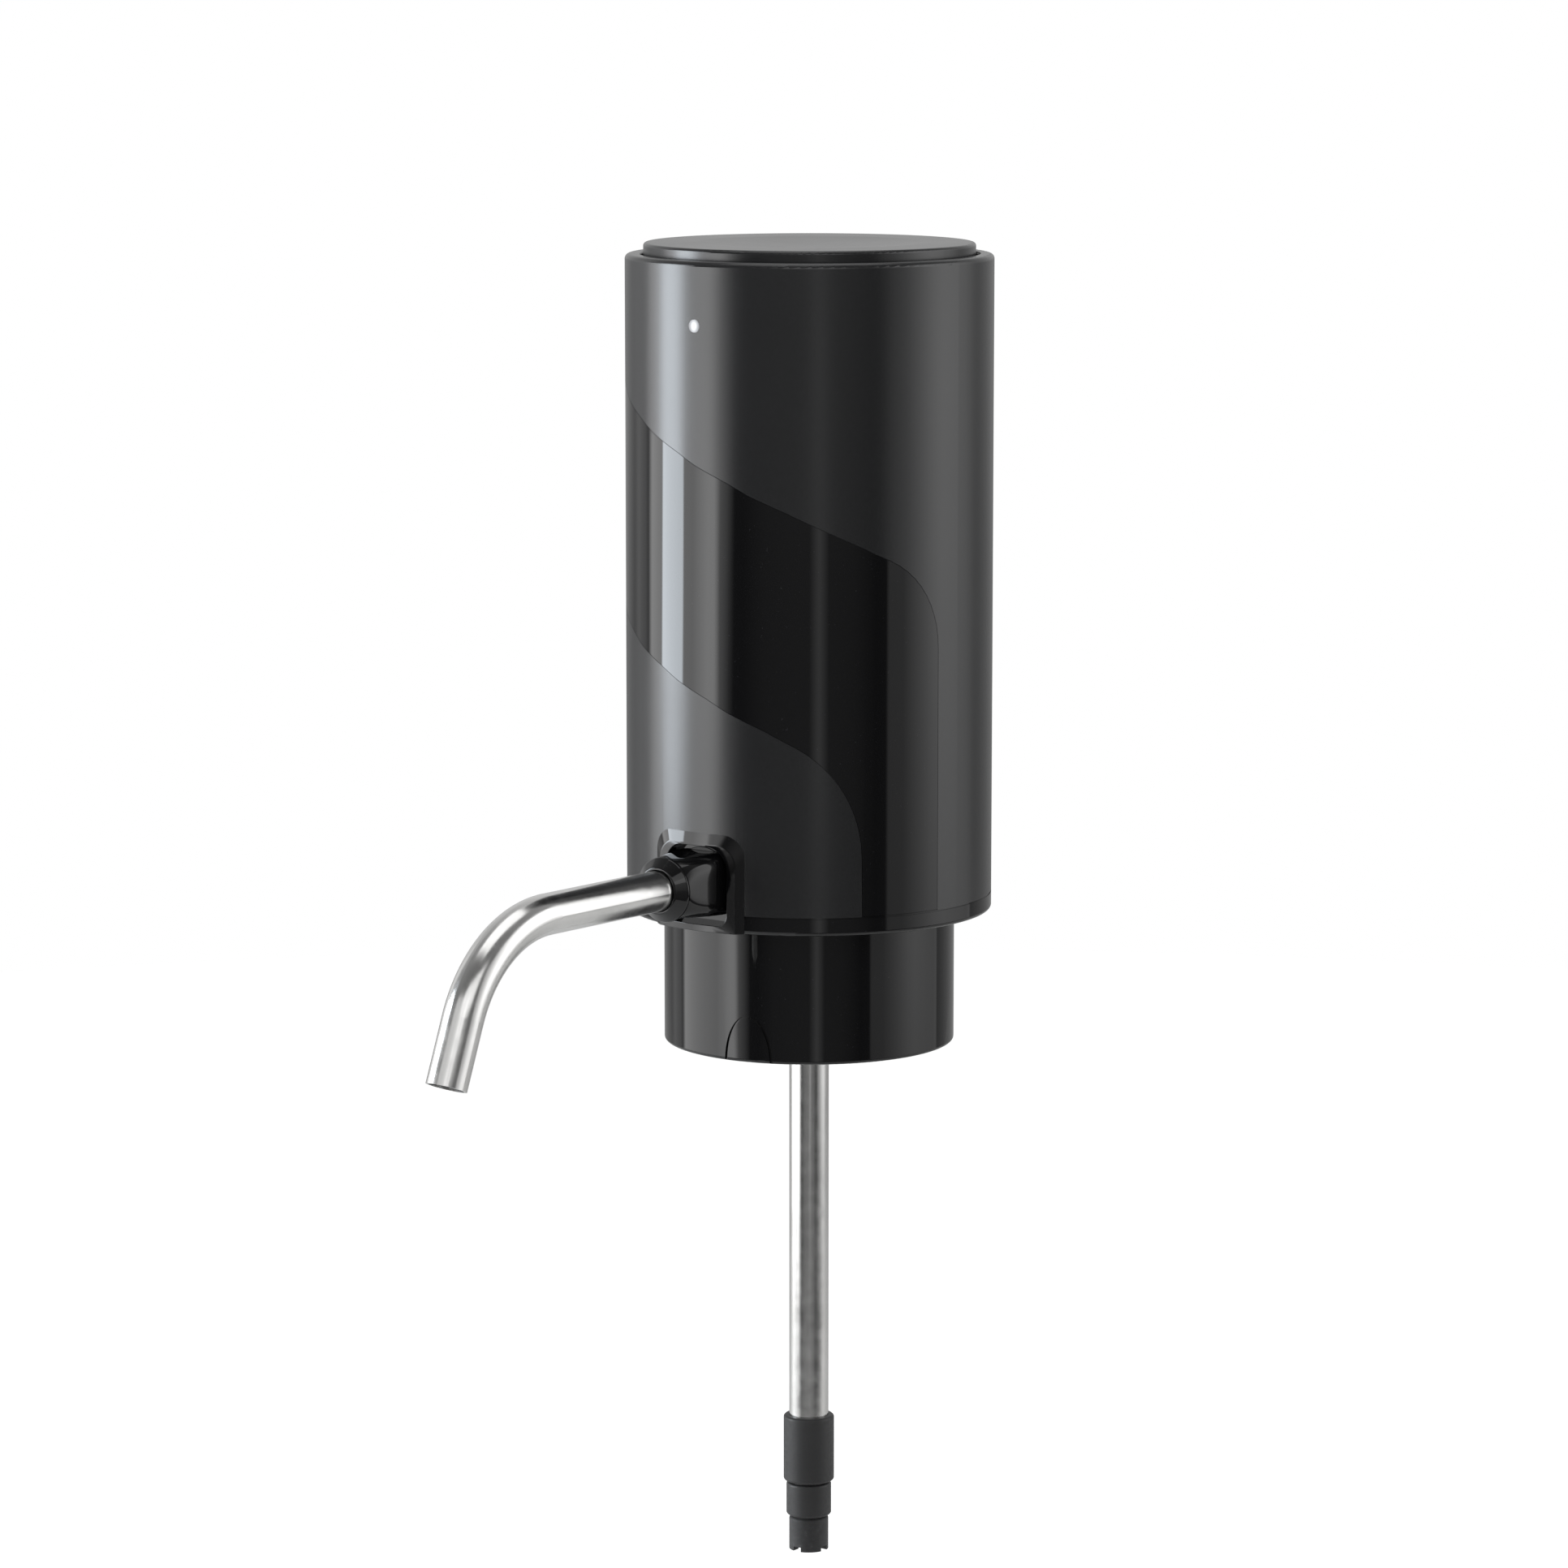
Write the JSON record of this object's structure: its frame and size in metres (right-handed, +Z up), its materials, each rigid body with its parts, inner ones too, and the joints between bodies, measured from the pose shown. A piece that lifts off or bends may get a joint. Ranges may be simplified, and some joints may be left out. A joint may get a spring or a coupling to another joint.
{
  "type": "electric wine aerator",
  "caption": "Round battery pump that plugs into a bottle's mouth and, at a press of its top, pushes air in and pours wine through a bent steel spout.",
  "frame": {"origin": "on the body's axis, at the seat that rests on the bottle's lip", "axes": "+Z up along the body's axis, -Y towards the spout"},
  "size_m": [0.064, 0.1323, 0.233],
  "materials": {
    "satin_black": "satin",
    "gloss_black": "gloss",
    "steel_tube": "polished",
    "black_silicone": "matte",
    "dark_plastic": "matte",
    "pale_plastic": "matte",
    "clear_hose": "satin",
    "screw_steel": "plated",
    "motor_steel": "zinc plated",
    "armature_iron": "wound",
    "bush_bronze": "satin",
    "cell_wrap": "wrapped",
    "plated_metal": "plated",
    "lead_skin": "satin",
    "board_green": "satin",
    "light_white": "clear"
  },
  "bodies": {
    "housing": {"body_shell": "satin_black", "gloss_band": "gloss_black", "base_cover": "gloss_black", "base_screws": "screw_steel", "neck_collar": "gloss_black", "collar_screws": "screw_steel", "bottle_bung": "black_silicone", "manifold": "pale_plastic", "manifold_screws": "screw_steel", "air_plug": "dark_plastic", "dip_seal": "black_silicone", "dip_tube_upper": "steel_tube", "upper_gland": "dark_plastic", "spout_frame": "gloss_black", "spout_socket": "gloss_black", "spout_seals": "black_silicone", "chassis": "dark_plastic", "battery_cell": "cell_wrap", "battery_tabs": "plated_metal", "battery_leads": "lead_skin", "motor_ring": "black_silicone", "motor_can": "motor_steel", "motor_magnets": "motor_steel", "motor_bushes": "bush_bronze", "motor_end_cap": "pale_plastic", "motor_leads": "lead_skin", "pump_housing": "dark_plastic", "swing_frame": "pale_plastic", "diaphragm": "black_silicone", "valve_plate": "pale_plastic", "pump_head": "dark_plastic", "pump_screws": "screw_steel", "hose_upper": "clear_hose", "check_valve": "pale_plastic", "hose_lower": "clear_hose", "charge_board": "board_green", "usb_socket": "plated_metal", "charge_screws": "screw_steel", "charge_leads": "lead_skin", "control_board": "board_green", "board_parts": "dark_plastic", "board_screws": "screw_steel", "push_switch": "dark_plastic", "status_led": "light_white", "light_pipe": "light_white", "button_deck": "dark_plastic", "deck_screws": "screw_steel", "button_spring": "screw_steel"},
    "button": {"top_button": "satin_black", "switch_plunger": "pale_plastic"},
    "rotor": {"motor_armature": "armature_iron", "eccentric": "pale_plastic"},
    "straw_middle": {"dip_tube_middle": "steel_tube", "middle_gland": "dark_plastic"},
    "straw_lower": {"dip_tube_lower": "steel_tube", "dip_foot": "black_silicone"},
    "spout": {"spout_tube": "steel_tube"}
  },
  "joints": [
    {"name": "button_press", "type": "slide", "parent": "housing", "child": "button", "axis": [0, 0, -1], "range_m": [0, 0.0012], "stiffness_N_per_m": 800, "springref_m": -0.002, "deforming": ["button_spring"]},
    {"name": "motor_spin", "type": "hinge", "parent": "housing", "child": "rotor", "pos_m": [0.011, 0, 0.0805], "axis": [0, 0, 1], "continuous": true},
    {"name": "straw_middle_slide", "type": "slide", "parent": "housing", "child": "straw_middle", "axis": [0, 0, -1], "range_m": [0, 0.08]},
    {"name": "straw_lower_slide", "type": "slide", "parent": "straw_middle", "child": "straw_lower", "axis": [0, 0, -1], "range_m": [0, 0.08]},
    {"name": "spout_pull", "type": "slide", "parent": "housing", "child": "spout", "axis": [0, -1, 0], "range_m": [0, 0.02]}
  ]
}
